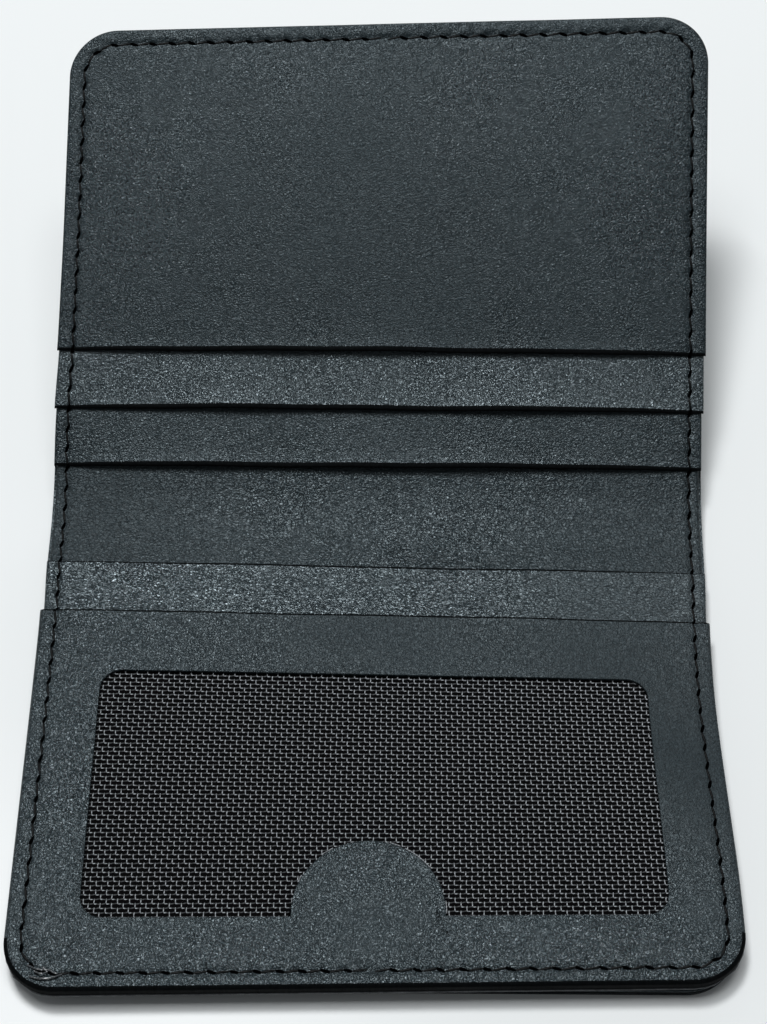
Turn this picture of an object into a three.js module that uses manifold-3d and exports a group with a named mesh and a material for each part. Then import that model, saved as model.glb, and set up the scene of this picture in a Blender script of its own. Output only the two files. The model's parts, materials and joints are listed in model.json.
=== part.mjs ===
// Three-leaf card wallet, lying open: the window leaf on the back leaf, the front leaf raised.
// Millimetres, +Z up. The fold line runs along X; the lower leaves run to -Y, the front leaf to +Y.
// The origin is the centre of the back leaf's underside.
import * as THREE from "three";
import { mergeVertices } from "three/addons/utils/BufferGeometryUtils.js";
import Module from "manifold-3d";

const wasm = await Module();
wasm.setup();

// Leaf outline
const LEAF_LENGTH = 77.1; // fold line to free end
const WIDTH_OUTER = 100.6; // the outermost pocket panels
const WIDTH_SECOND = 100.1;
const WIDTH_THIRD = 99.6;
const WIDTH_BASE = 98.8; // covers and the leather the pockets are sewn to
const CORNER_R = 7.5;
const FOLD_GAP = 0.3; // each leaf stops this far from the fold line
const EDGE_ROUND = 0.1;
const FOLD_Y = (FOLD_GAP + LEAF_LENGTH) / 2;

// Folds
const FRONT_FOLD_Z = 4.8;
const RAISE = THREE.MathUtils.degToRad(27.7);

// Stitching
const STITCH_INSET = 2.4;
const THREAD_WIDTH = 0.5;
const THREAD_DEPTH = 0.18;
const THREAD_SINK = 0.02;
const GROOVE_WIDTH = 0.8;
const GROOVE_DEPTH = 0.25;
const STITCH_X = WIDTH_OUTER / 2 - STITCH_INSET;
const STITCH_END = LEAF_LENGTH - STITCH_INSET;
const STITCH_R = CORNER_R - STITCH_INSET;

// Window
const WINDOW_WIDTH = 80.7;
const WINDOW_NEAR = 28.9;
const WINDOW_FAR = 66.8;
const WINDOW_R = 3.2;
const TAB_X = -0.6;
const TAB_R = 10.6;
const TAB_RISE = 0.7; // the tab's round stands this far above the opening's lower edge
const MESH_MARGIN = 3.2; // how far the mesh runs under the frame

// Layers as [bottom, top] above the table, and where each pocket mouth lies
const MOUTH_4 = 9.7;
const MOUTH_WINDOW = 18.7;
const MOUTH_3 = 6.5;
const MOUTH_2 = 15.4;
const MOUTH_1 = 24.4;
const LAYER = {
  back_cover: [0, 0.7],
  back_stiffener: [0.76, 0.94],
  back_lining: [1.0, 1.1],
  back_facing: [1.16, 1.7],
  rear: [1.85, 2.35],
  id_lining: [2.41, 2.5],
  base: [2.56, 3.05],
  pocket_4: [3.12, 3.55],
  mesh: [3.61, 3.7],
  frame: [3.76, 4.3],
  front_cover: [1.5, 2.1],
  front_stiffener: [2.16, 2.3],
  front_lining: [2.36, 2.46],
  pocket_3: [3.12, 3.5],
  pocket_2: [3.56, 3.94],
  pocket_1: [4.0, 4.38],
};

const STYLE = {
  leather: { color: 0x1d2122, roughness: 0.5, metalness: 0 },
  lining: { color: 0x16181a, roughness: 0.85, metalness: 0 },
  board: { color: 0x3a3834, roughness: 0.9, metalness: 0 },
  mesh: { color: 0x2b2e30, roughness: 0.6, metalness: 0 },
  thread: { color: 0x0c0d0e, roughness: 0.55, metalness: 0 },
};

const wallet = new THREE.Group();
wallet.name = "trifold_wallet";
const lowerLeaves = new THREE.Group();
lowerLeaves.name = "lower_leaves";
lowerLeaves.position.y = FOLD_Y;
wallet.add(lowerLeaves);
const frontLeaf = new THREE.Group();
frontLeaf.name = "front_leaf";
frontLeaf.position.set(0, FOLD_Y, FRONT_FOLD_Z);
frontLeaf.rotation.x = RAISE;
wallet.add(frontLeaf);

// A leaf is drawn flat: x across, s out from the fold, side -1 for a lower leaf and +1 for the front one.
const LOWER = -1;
const FRONT = 1;

function solidOf(geometry) {
  const plain = geometry.clone();
  plain.deleteAttribute("normal");
  plain.deleteAttribute("uv");
  const merged = mergeVertices(plain, 1e-4);
  return new wasm.Manifold(
    new wasm.Mesh({
      numProp: 3,
      vertProperties: merged.attributes.position.array,
      triVerts: new Uint32Array(merged.index.array),
    }),
  );
}

function geometryOf(solid) {
  const mesh = solid.getMesh();
  const geometry = new THREE.BufferGeometry();
  const points = new Float32Array(mesh.vertProperties);
  geometry.setAttribute("position", new THREE.BufferAttribute(points, 3));
  geometry.setIndex(new THREE.BufferAttribute(new Uint32Array(mesh.triVerts), 1));
  geometry.computeVertexNormals();
  return geometry;
}

function extrude(shape, [bottom, top], round = 0) {
  const geometry = new THREE.ExtrudeGeometry(shape, {
    depth: top - bottom - 2 * round,
    bevelEnabled: round > 0,
    bevelSize: round,
    bevelThickness: round,
    bevelOffset: -round,
    bevelSegments: 1,
    curveSegments: 7,
  });
  geometry.translate(0, 0, bottom + round);
  return solidOf(geometry);
}

// A panel from near to far with its two far corners rounded.
function panelShape(side, width, near, far, radius) {
  const x = width / 2;
  const shape = new THREE.Shape();
  shape.moveTo(-x, side * near);
  shape.lineTo(-x, side * (far - radius));
  for (let i = 0; i <= 7; i++) {
    const a = (i / 7) * (Math.PI / 2);
    shape.lineTo(-x + radius - radius * Math.cos(a), side * (far - radius + radius * Math.sin(a)));
  }
  for (let i = 7; i >= 0; i--) {
    const a = (i / 7) * (Math.PI / 2);
    shape.lineTo(x - radius + radius * Math.cos(a), side * (far - radius + radius * Math.sin(a)));
  }
  shape.lineTo(x, side * near);
  shape.closePath();
  return shape;
}

// The stitching line's track: down one side, round the free end and back, as wide as asked.
function track(side, near, width, layer) {
  const half = width / 2;
  const outer = panelShape(side, 2 * (STITCH_X + half), near, STITCH_END + half, STITCH_R + half);
  const inner = panelShape(side, 2 * (STITCH_X - half), near - 1, STITCH_END - half, STITCH_R - half);
  const inside = [layer[0] - 1, layer[1] + 1];
  return extrude(outer, layer).subtract(extrude(inner, inside));
}

function groove(side, top) {
  return track(side, -5, GROOVE_WIDTH, [top - GROOVE_DEPTH, top + 0.5]);
}

// One thread over a stepped row of panels, given as [mouth, top] from the fold outwards.
function thread(side, steps) {
  const last = steps[steps.length - 1];
  const lead = 0.4;
  const level = (top) => [top - THREAD_DEPTH - THREAD_SINK, top - THREAD_SINK];
  let solid = track(side, last[0] - lead, THREAD_WIDTH, level(last[1]));
  for (let i = 0; i < steps.length - 1; i++) {
    const [near, top] = steps[i];
    const [next, nextTop] = steps[i + 1];
    const start = i ? near - lead : near;
    for (const x of [-STITCH_X, STITCH_X]) {
      solid = solid.add(bar(side, x, start, next - 0.1, level(top)));
      solid = solid.add(bar(side, x, next - lead, next - 0.1, [level(top)[0], level(nextTop)[1]]));
    }
  }
  return solid;
}

function bar(side, x, near, far, [bottom, top]) {
  const geometry = new THREE.BoxGeometry(THREAD_WIDTH, far - near, top - bottom);
  geometry.translate(x, (side * (near + far)) / 2, (bottom + top) / 2);
  return solidOf(geometry);
}

function add(side, name, style, solid) {
  const mesh = new THREE.Mesh(geometryOf(solid), new THREE.MeshStandardMaterial(STYLE[style]));
  mesh.name = name;
  if (side === FRONT) mesh.geometry.translate(0, 0, -FRONT_FOLD_Z);
  (side === FRONT ? frontLeaf : lowerLeaves).add(mesh);
}

// A leather panel out to the free end, with the stitching groove in its top face.
function leather(side, name, width, near, layer, grooved = true) {
  const shape = panelShape(side, width, near, LEAF_LENGTH, CORNER_R);
  const solid = extrude(shape, layer, EDGE_ROUND);
  add(side, name, "leather", grooved ? solid.subtract(groove(side, layer[1])) : solid);
}

// A sheet sewn in between: it stops short of the free end and the sides by its inset.
function insert(side, name, style, inset, near, layer) {
  const far = LEAF_LENGTH - inset;
  const shape = panelShape(side, WIDTH_BASE - 2 * inset, near, far, CORNER_R - inset / 2);
  add(side, name, style, extrude(shape, layer));
}

// Back leaf, on the table
leather(LOWER, "back_cover_leather", WIDTH_BASE, FOLD_GAP, LAYER.back_cover, false);
insert(LOWER, "back_cover_stiffener", "board", 3.6, 4, LAYER.back_stiffener);
insert(LOWER, "back_note_pocket_lining", "lining", 1, 3, LAYER.back_lining);
leather(LOWER, "back_leaf_facing", WIDTH_BASE, 2, LAYER.back_facing);
add(LOWER, "back_leaf_stitching", "thread", thread(LOWER, [[2.9, LAYER.back_facing[1]]]));

// Window leaf, on the back leaf
leather(LOWER, "window_leaf_rear_leather", WIDTH_BASE, FOLD_GAP, LAYER.rear, false);
insert(LOWER, "id_pocket_lining", "lining", 1, 4, LAYER.id_lining);
leather(LOWER, "inner_base_window", WIDTH_BASE, FOLD_GAP, LAYER.base);
leather(LOWER, "card_pocket_4", WIDTH_THIRD, MOUTH_4, LAYER.pocket_4);

const windowShape = new THREE.Shape();
const wx = WINDOW_WIDTH / 2;
windowShape.moveTo(-wx + WINDOW_R, -WINDOW_FAR);
windowShape.lineTo(wx - WINDOW_R, -WINDOW_FAR);
windowShape.absarc(wx - WINDOW_R, -WINDOW_FAR + WINDOW_R, WINDOW_R, -Math.PI / 2, 0, false);
windowShape.absarc(wx - WINDOW_R, -WINDOW_NEAR - WINDOW_R, WINDOW_R, 0, Math.PI / 2, false);
windowShape.absarc(-wx + WINDOW_R, -WINDOW_NEAR - WINDOW_R, WINDOW_R, Math.PI / 2, Math.PI, false);
windowShape.absarc(-wx + WINDOW_R, -WINDOW_FAR + WINDOW_R, WINDOW_R, Math.PI, 1.5 * Math.PI, false);
const tabShape = new THREE.Shape();
const tabNeck = Math.asin(TAB_RISE / TAB_R);
tabShape.moveTo(TAB_X - TAB_R * Math.cos(tabNeck), -WINDOW_FAR - 1);
tabShape.lineTo(TAB_X + TAB_R * Math.cos(tabNeck), -WINDOW_FAR - 1);
for (let i = 0; i <= 20; i++) {
  const a = -tabNeck + (i / 20) * (Math.PI + 2 * tabNeck);
  tabShape.lineTo(TAB_X + TAB_R * Math.cos(a), -WINDOW_FAR + TAB_RISE + TAB_R * Math.sin(a));
}
const through = [LAYER.frame[0] - 1, LAYER.frame[1] + 1];
const windowHole = extrude(windowShape, through).subtract(extrude(tabShape, [0, 12]));
const frameShape = panelShape(LOWER, WIDTH_OUTER, MOUTH_WINDOW, LEAF_LENGTH, CORNER_R);
const frameSolid = extrude(frameShape, LAYER.frame, EDGE_ROUND);
const frameCut = frameSolid.subtract(windowHole).subtract(groove(LOWER, LAYER.frame[1]));
add(LOWER, "id_window_frame", "leather", frameCut);

const meshNear = WINDOW_NEAR - MESH_MARGIN;
const meshFar = WINDOW_FAR + MESH_MARGIN;
const meshShape = panelShape(LOWER, WINDOW_WIDTH + 2 * MESH_MARGIN, meshNear, meshFar, 1);
add(LOWER, "id_window_mesh", "mesh", extrude(meshShape, LAYER.mesh));

const windowSteps = [
  [FOLD_GAP, LAYER.base[1]],
  [MOUTH_4, LAYER.pocket_4[1]],
  [MOUTH_WINDOW, LAYER.frame[1]],
];
add(LOWER, "window_leaf_stitching", "thread", thread(LOWER, windowSteps));

// Front leaf, raised
leather(FRONT, "front_cover_leather", WIDTH_BASE, FOLD_GAP, LAYER.front_cover, false);
insert(FRONT, "front_cover_stiffener", "board", 3.6, 4, LAYER.front_stiffener);
insert(FRONT, "front_note_pocket_lining", "lining", 1, 3, LAYER.front_lining);
leather(FRONT, "inner_base_front", WIDTH_BASE, FOLD_GAP, LAYER.base);
leather(FRONT, "card_pocket_3", WIDTH_THIRD, MOUTH_3, LAYER.pocket_3);
leather(FRONT, "card_pocket_2", WIDTH_SECOND, MOUTH_2, LAYER.pocket_2);
leather(FRONT, "card_pocket_1", WIDTH_OUTER, MOUTH_1, LAYER.pocket_1);
const frontSteps = [
  [FOLD_GAP, LAYER.base[1]],
  [MOUTH_3, LAYER.pocket_3[1]],
  [MOUTH_2, LAYER.pocket_2[1]],
  [MOUTH_1, LAYER.pocket_1[1]],
];
add(FRONT, "front_leaf_stitching", "thread", thread(FRONT, frontSteps));

export default wallet;
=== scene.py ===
"""Trifold wallet, lying open on a table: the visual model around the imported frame."""

import json
import math

import bpy
import numpy as np
from mathutils import Matrix, Vector, noise


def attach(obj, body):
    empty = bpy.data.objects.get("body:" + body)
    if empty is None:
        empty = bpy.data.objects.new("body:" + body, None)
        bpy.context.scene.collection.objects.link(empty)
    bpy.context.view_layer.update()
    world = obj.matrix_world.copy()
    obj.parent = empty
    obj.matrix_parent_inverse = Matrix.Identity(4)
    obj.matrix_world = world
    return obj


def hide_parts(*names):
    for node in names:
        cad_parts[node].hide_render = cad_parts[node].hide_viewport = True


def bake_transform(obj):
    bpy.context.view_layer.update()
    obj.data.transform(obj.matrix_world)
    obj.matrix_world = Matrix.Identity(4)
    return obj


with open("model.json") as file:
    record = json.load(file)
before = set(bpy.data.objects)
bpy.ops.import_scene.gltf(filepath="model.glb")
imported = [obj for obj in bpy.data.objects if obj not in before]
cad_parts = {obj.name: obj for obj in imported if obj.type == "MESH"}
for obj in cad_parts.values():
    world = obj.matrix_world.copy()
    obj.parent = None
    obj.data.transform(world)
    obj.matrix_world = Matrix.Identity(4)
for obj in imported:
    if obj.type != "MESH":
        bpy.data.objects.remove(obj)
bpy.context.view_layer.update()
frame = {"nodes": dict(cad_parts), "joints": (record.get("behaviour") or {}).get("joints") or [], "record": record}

MM = 0.001
JOINTS = {joint["name"]: joint for joint in frame["joints"]}
BODY_OF = {node: body for body, nodes in frame["record"]["behaviour"]["bodies"].items() for node in nodes}

# The front fold: the hinge's place in millimetres and how far the front leaf is raised
FOLD_Y = JOINTS["front_fold"]["pos_m"][1] / MM
FOLD_Z = JOINTS["front_fold"]["pos_m"][2] / MM
RAISE = -math.radians(JOINTS["front_fold"]["range_deg"][0])
BEND = 6.0  # the leather bends over this far each side of the fold line

# ---------------------------------------------------------------- flat coordinates
# Every leaf is worked out flat, in millimetres: x across, t along (negative on the lower leaves,
# positive on the front leaf, 0 at the fold) and n up through the layers.


def flat_extent(node):
    """Lowest and highest x, t, n of a CAD node, with the front leaf turned back flat."""
    co = np.array([v.co for v in frame["nodes"][node].data.vertices]) / MM
    y, z = co[:, 1] - FOLD_Y, co[:, 2]
    if BODY_OF[node] == "front_leaf":
        z = z - FOLD_Z
        y, z = y * math.cos(RAISE) + z * math.sin(RAISE), z * math.cos(RAISE) - y * math.sin(RAISE)
        z = z + FOLD_Z
    flat = np.stack([co[:, 0], y, z], 1)
    return flat.min(0), flat.max(0)


def levels(node):
    low, high = flat_extent(node)
    return low[2], high[2]


LEAF = flat_extent("card_pocket_1")[1][1]
HALF_OUTER = flat_extent("card_pocket_1")[1][0]
HALF_SECOND = flat_extent("card_pocket_2")[1][0]
HALF_THIRD = flat_extent("card_pocket_3")[1][0]
HALF_BASE = flat_extent("front_cover_leather")[1][0]
MOUTH_1 = flat_extent("card_pocket_1")[0][1]
MOUTH_2 = flat_extent("card_pocket_2")[0][1]
MOUTH_3 = flat_extent("card_pocket_3")[0][1]
MOUTH_4 = -flat_extent("card_pocket_4")[1][1]
MOUTH_WINDOW = -flat_extent("id_window_frame")[1][1]
CORNER_R = 7.5

# Window opening
WINDOW_HALF = 40.35
WINDOW_NEAR = 28.9
WINDOW_FAR = 66.8
WINDOW_R = 3.2
TAB_X = -0.6
TAB_R = 10.6
TAB_RISE = 0.7

# Seams
SEAM_INSET = 2.4
SEAM_X = HALF_OUTER - SEAM_INSET
SEAM_END = LEAF - SEAM_INSET
SEAM_R = CORNER_R - SEAM_INSET
SEAM_SIDE = SEAM_END - SEAM_R
SEAM_ARC = SEAM_R * math.pi / 2
SEAM_TOP = SEAM_X - SEAM_R
SEAM_LENGTH = SEAM_SIDE + SEAM_ARC + SEAM_TOP
STITCHES = 39
PITCH = SEAM_LENGTH / STITCHES

# The handmade slant of the sewn lines and the lean of the sides, in mm at places along the leaves
SLANT_T = [-77, -67, -29, -10, 6.5, 24, 77]
SLANT = [1.3, 0.95, -0.5, -0.6, 0.2, 0.0, 1.8]
LEFT_T = [-77, -30, -19, -10, 15, 24, 42, 77]
LEFT = [0.15, 0.0, -0.1, -0.65, -0.6, 0.0, 0.45, 0.9]
RIGHT_T = [-77, -61, -52, -42, -32, -20, -10, 24, 42, 77]
RIGHT = [0.9, 0.6, 0.1, -0.45, -0.9, -0.8, -0.2, 0.1, 0.3, 0.8]
BACK_SLANT = 0.25


def smooth(a, b, v):
    w = np.clip((v - a) / (b - a), 0, 1)
    return w * w * (3 - 2 * w)


def soft_table(t, at, values):
    """A gentle curve through the listed values: the straight-line table averaged over 8 mm."""
    total = 0
    for step in (-4, -2, 0, 2, 4):
        total = total + np.interp(t + step, at, values)
    return total / 5


def warp(x, t, slanted=True):
    """The handmade outline: lines slant a little, and the two sides lean on their own."""
    u = x / HALF_OUTER
    if slanted:
        shift = soft_table(t, SLANT_T, SLANT) * u
        side = np.where(u < 0, -u * soft_table(t, LEFT_T, LEFT), u * soft_table(t, RIGHT_T, RIGHT))
    else:
        shift = BACK_SLANT * u * np.clip(-t / LEAF, 0, 1)
        side = np.where(u < 0, 0.0, u * 0.5 * soft_table(t, RIGHT_T, RIGHT))
    return x + side, t + shift


def place(x, t, n, slanted=True):
    """Flat coordinates to the row frame in metres: flat, then an arc at the fold, then raised."""
    x, t, n = np.broadcast_arrays(np.asarray(x, float), np.asarray(t, float), np.asarray(n, float))
    x, t = warp(x, t, slanted)
    above = n - FOLD_Z
    radius = BEND / math.tan(RAISE / 2)
    turn = RAISE * (t + BEND) / (2 * BEND)
    y = np.where(t < -BEND, t, (radius - above) * np.sin(turn) - BEND)
    z = np.where(t < -BEND, above, radius - (radius - above) * np.cos(turn))
    y = np.where(t > BEND, t * math.cos(RAISE) - above * math.sin(RAISE), y)
    z = np.where(t > BEND, t * math.sin(RAISE) + above * math.cos(RAISE), z)
    return np.stack([x, y + FOLD_Y, z + FOLD_Z], -1) * MM


def hills(x, t, size, seed):
    """Slow uneven swell from -1 to 1, the same on every run."""
    x, t = np.broadcast_arrays(np.asarray(x, float), np.asarray(t, float))
    flat = [noise.noise((a / size, b / size, seed * 7.31)) for a, b in zip(x.ravel(), t.ravel())]
    return np.array(flat).reshape(x.shape)


# ---------------------------------------------------------------- surfaces


def seam_coords(x, t):
    """Signed distance outwards from the seam line, and length along it from the fold."""
    a, s = np.abs(x), np.abs(t)
    dx, ds = a - SEAM_TOP, s - SEAM_SIDE
    corner = (dx > 0) & (ds > 0)
    end = (ds > 0) & (dx <= 0)
    dist = np.where(corner, np.hypot(dx, ds) - SEAM_R, np.where(end, s - SEAM_END, a - SEAM_X))
    turn = np.arctan2(np.maximum(ds, 0), np.maximum(dx, 1e-9))
    along = np.where(corner, SEAM_SIDE + SEAM_R * turn, s)
    along = np.where(end, SEAM_SIDE + SEAM_ARC + (SEAM_TOP - a), along)
    return dist, along


def edge_distance(x, t, half, length):
    a, s = np.abs(x), np.abs(t)
    dx, ds = a - (half - CORNER_R), s - (length - CORNER_R)
    corner = (dx > 0) & (ds > 0)
    return np.where(corner, CORNER_R - np.hypot(dx, ds), np.minimum(half - a, length - s))


def seam_relief(x, t, seed=0):
    """Leather drawn down into the stitch holes, with a low roll outside the seam and small puckers."""
    dist, along = seam_coords(x, t)
    phase = 2 * math.pi * along / PITCH
    line = np.exp(-((dist / 0.42) ** 2))
    holes = 0.5 + 0.5 * np.cos(phase)
    roll = 0.05 * np.exp(-(((dist - 1.1) / 0.6) ** 2)) + 0.05 * np.exp(-(((dist + 1.2) / 0.8) ** 2))
    at_end = smooth(SEAM_SIDE, SEAM_END, np.abs(t))
    pucker = np.sin(phase + 2.2 * dist + 0.8 * np.sin(along * 1.7 + seed)) * np.exp(-((dist / 1.5) ** 2))
    return roll - line * (0.1 + 0.12 * holes) + pucker * (0.015 + 0.05 * at_end)


def edge_roll(d, width, drop):
    e = np.clip(1 - d / width, 0, 1)
    return drop * (1 - np.sqrt(1 - e * e * 0.999))


LIP = 0.14  # a pocket mouth's turned edge stands up this far
SHADE_BAND_NARROWING = 0.65  # how much narrower its band of painted shade is at the sides than in the middle
SHADE_ROWS_LOW = 4  # rows of faces at a mouth on the lower leaf painted dark, as painted shade under the turned edge
SHADE_ROWS_HIGH = 6  # and on the raised leaf, whose mouths stand open more, so its band of painted shade is wider


class Layer:
    """One leather layer: where it lies, and how its top and underside run."""

    def __init__(
        self, node, half, mouth, gape, seed, length=LEAF, swell=0.05, bow=0.0, roll=0.22, crown=0.0
    ):
        self.node = node
        self.half = half
        self.sign = -1 if flat_extent(node)[0][1] < -10 else 1
        self.low, self.top = levels(node)
        self.mouth = mouth
        self.gape = gape
        self.seed = seed
        self.length = length
        self.crown = crown
        self.swell = swell
        self.bow = bow
        self.roll = roll
        self.shade_rows = SHADE_ROWS_LOW if self.sign < 0 else SHADE_ROWS_HIGH

    def mouth_line(self, x):
        """The mouth isn't quite straight."""
        u = np.clip(np.abs(x) / SEAM_X, 0, 1)
        wave = 0.06 * np.sin(x * 0.11 + self.seed * 1.9) + 0.04 * np.sin(x * 0.29 + self.seed)
        return self.mouth + (self.bow + wave) * (1 - u**4)

    def lift(self, x, e):
        u = np.clip(np.abs(x) / (SEAM_X - 1), 0, 1)
        uneven = 0.8 + 0.2 * np.sin(x * 0.13 + self.seed * 2.3) + 0.14 * np.sin(x * 0.31 + self.seed)
        return self.gape * (1 - u**3.0) * uneven * np.exp(-np.maximum(e, 0) / 5.0)

    def pillow(self, x, s):
        """The panel stands up a little between its seams, most near the middle."""
        across = np.clip(1 - (x / (SEAM_X - 1)) ** 2, 0, 1) ** 0.6
        share = np.clip((s - self.mouth) / (SEAM_END - 1 - self.mouth), 0, 1)
        return self.crown * across * (4 * share * (1 - share)) ** 0.8

    def upper(self, x, t):
        s = np.abs(t)
        e = s - self.mouth_line(x)
        inside = smooth(0, 5, SEAM_X - np.abs(x))
        h = self.top + self.lift(x, e) + LIP * np.exp(-((np.maximum(e, 0) / 1.3) ** 2)) * inside
        h = h + self.pillow(x, s)
        h = h + seam_relief(x, t, self.seed)
        h = h + self.swell * hills(x, t, 13.0, self.seed) * inside
        h = h - edge_roll(edge_distance(x, t, self.half, self.length), 0.75, self.roll)
        return h - edge_roll(e, 0.34 if self.sign < 0 else 0.5, 0.5 * (self.top - self.low) + 0.04)

    def under(self, x, t):
        e = np.abs(t) - self.mouth_line(x)
        h = self.low + self.lift(x, e) + self.pillow(x, np.abs(t))
        return h + edge_roll(e, 0.3, 0.4 * (self.top - self.low))


POCKETS = {
    1: Layer("card_pocket_1", HALF_OUTER, MOUTH_1, gape=0.75, seed=1, swell=0.1, bow=0.1, crown=0.8),
    2: Layer("card_pocket_2", HALF_SECOND, MOUTH_2, gape=0.75, seed=2, bow=0.08),
    3: Layer("card_pocket_3", HALF_THIRD, MOUTH_3, gape=0.8, seed=3, bow=0.05),
    4: Layer("card_pocket_4", HALF_THIRD, MOUTH_4, gape=0.16, seed=4, length=LEAF - 0.7),
}
WINDOW = Layer("id_window_frame", HALF_OUTER, MOUTH_WINDOW, gape=0.16, seed=5, swell=0.07, roll=0.5)
INNER_LOW, INNER_TOP = levels("inner_base_window")


def inner_top(x, t):
    """The leather under the pockets, running through the fold."""
    creases = 0.02 * np.sin(t * 1.9 + 2.4 * hills(x, t, 9.0, 11)) * np.exp(-((t / 7.0) ** 2))
    wrinkles = 0.035 * hills(x, t * 1.6, 4.2, 12) * smooth(14, 4, np.abs(t + 2))
    h = INNER_TOP + 0.06 * hills(x, t, 12.0, 13) + creases + wrinkles + seam_relief(x, t, 6)
    return h - edge_roll(HALF_BASE - np.abs(x), 0.7, 0.2)


def top_at(x, t):
    """Height of whichever layer is uppermost, for one point."""
    x, t = np.array([float(x)]), np.array([float(t)])
    row = [POCKETS[1], POCKETS[2], POCKETS[3]] if t[0] > 0 else [WINDOW, POCKETS[4]]
    for layer in row:
        if abs(t[0]) > layer.mouth:
            return float(layer.upper(x, t)[0])
    return float(inner_top(x, t)[0])


# ---------------------------------------------------------------- mesh building


def new_object(name, vertices, faces, uv=None, material=None, sharp=32, marks=None):
    """A mesh object; material may be a list, and marks then gives each face's place in it."""
    mesh = bpy.data.meshes.new(name)
    mesh.from_pydata([tuple(v) for v in vertices], [], faces)
    if uv is not None:
        layer = mesh.uv_layers.new(name="UVMap")
        loops = np.zeros(len(mesh.loops), np.int32)
        mesh.loops.foreach_get("vertex_index", loops)
        layer.data.foreach_set("uv", np.asarray(uv, np.float32)[loops].ravel())
    for entry in material if isinstance(material, list) else [material]:
        mesh.materials.append(entry)
    if marks is not None:
        mesh.polygons.foreach_set("material_index", np.asarray(marks, np.int32))
    mesh.validate()
    mesh.shade_smooth()
    mesh.set_sharp_from_angle(angle=math.radians(sharp))
    obj = bpy.data.objects.new(name, mesh)
    bpy.context.scene.collection.objects.link(obj)
    return obj


def spaced(start, stop, step, margins=()):
    """Values from start to stop about one step apart, closer at the ends by the margins given."""
    values = [start, stop]
    inner = [start + m for m in margins] + [stop - m for m in margins]
    edge = max(margins) if margins else 0
    count = max(1, round((stop - start - 2 * edge) / step))
    between = [start + edge + (stop - start - 2 * edge) * i / count for i in range(1, count)]
    return np.array(sorted(set(np.round(values + inner + between, 5))))


FINE = (0.04, 0.12, 0.24, 0.4, 0.58, 0.78, 1.1, 1.4, 1.7, 1.95, 2.2, 2.4, 2.6, 2.85, 3.15, 3.5)


def outline_half(s, half, length):
    d = np.clip(s - (length - CORNER_R), 0, CORNER_R)
    return half - CORNER_R + np.sqrt(CORNER_R**2 - d**2)


def slab(name, rows, columns, halves, upper, under, material, slanted=True, shift=0.0, shade_rows=0):
    """A closed sheet: rows along t, columns as shares of the half width, one height each side.
    rows is 2-D (row, column), so that a mouth line can wander. From a list of two materials the rim
    takes the second, dark edge dye, and so do the first shade_rows rows of the top, as painted shade."""
    count_r, count_c = rows.shape
    x = halves[:, None] * columns[None, :]
    top = place(x, rows, upper(x, rows), slanted)
    low = place(x, rows, under(x, rows), slanted)
    vertices = np.concatenate([top.reshape(-1, 3), low.reshape(-1, 3)])
    uv = np.stack([x / 10 + shift, rows / 10], -1).reshape(-1, 2)
    uv = np.concatenate([uv, uv + 37.0])
    size = count_r * count_c
    index = np.arange(size).reshape(count_r, count_c)
    a, b = index[:-1, :-1].ravel(), index[:-1, 1:].ravel()
    c, d = index[1:, 1:].ravel(), index[1:, :-1].ravel()
    rising = rows[-1, count_c // 2] > rows[0, count_c // 2]
    up = np.stack([a, b, c, d], 1) if rising else np.stack([d, c, b, a], 1)
    faces = up.tolist() + (up[:, ::-1] + size).tolist()
    ring = list(index[0, :]) + list(index[1:, -1]) + list(index[-1, -2::-1]) + list(index[-2:0:-1, 0])
    if not rising:
        ring = ring[::-1]
    for i, p in enumerate(ring):
        q = ring[(i + 1) % len(ring)]
        faces.append([int(q), int(p), int(p) + size, int(q) + size])
    marks = np.zeros(len(faces), int)
    if isinstance(material, list):
        marks[: shade_rows * (count_c - 1)] = 1
        marks[2 * len(up) :] = 1
    return new_object(name, vertices, faces, uv, material, marks=marks)


def column_shares(half, step):
    x = spaced(-half, half, step, FINE)
    return x / half


PANEL_STEP = 0.45
HIDDEN_STEP = 2.5


def panel(layer, material, visible_to=None):
    """A pocket panel from its mouth to the free end, coarse where another panel covers it."""
    near = layer.mouth
    far = layer.length
    if visible_to is None:
        s = spaced(near, far, PANEL_STEP, FINE)
    else:
        hidden = spaced(visible_to, far, HIDDEN_STEP, FINE)
        s = np.concatenate([spaced(near, visible_to, PANEL_STEP, FINE), hidden[1:]])
    columns = column_shares(layer.half, PANEL_STEP)
    halves = outline_half(s, layer.half, layer.length)
    x = halves[:, None] * columns[None, :]
    pull = (layer.mouth_line(x) - near) * np.clip(1 - (s[:, None] - near) / 6.0, 0, 1)
    depth = s[:, None] - near
    # The dark rows crowd together towards the sides, so the painted shade band under the mouth thins there.
    shade_narrowing = -SHADE_BAND_NARROWING * depth * np.abs(columns) ** 5 * np.clip(1 - depth / 3.0, 0, 1)
    rows = layer.sign * (s[:, None] + pull + shade_narrowing)
    materials = [material, EDGE_DYE_AND_SHADE]
    look = {"shift": 3.1 * layer.seed, "shade_rows": layer.shade_rows}
    obj = slab(layer.node, rows, columns, halves, layer.upper, layer.under, materials, **look)
    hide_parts(layer.node)
    return obj


# How many points a loop round the window frame has along each stretch, and where the mouth and the
# free end lie in it
LOOP_NEAR_CORNER = 12
LOOP_MOUTH = 150
LOOP_SIDE = 70
LOOP_FAR_CORNER = 16
LOOP_THIRD = 60  # each of the three stretches along the far side
LOOP_FAR_START = 2 * LOOP_NEAR_CORNER + LOOP_MOUTH + LOOP_SIDE
MOUTH_PART = slice(LOOP_NEAR_CORNER, LOOP_NEAR_CORNER + LOOP_MOUTH)
FAR_PART = slice(LOOP_FAR_START, LOOP_FAR_START + 2 * LOOP_FAR_CORNER + 3 * LOOP_THIRD)


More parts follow.
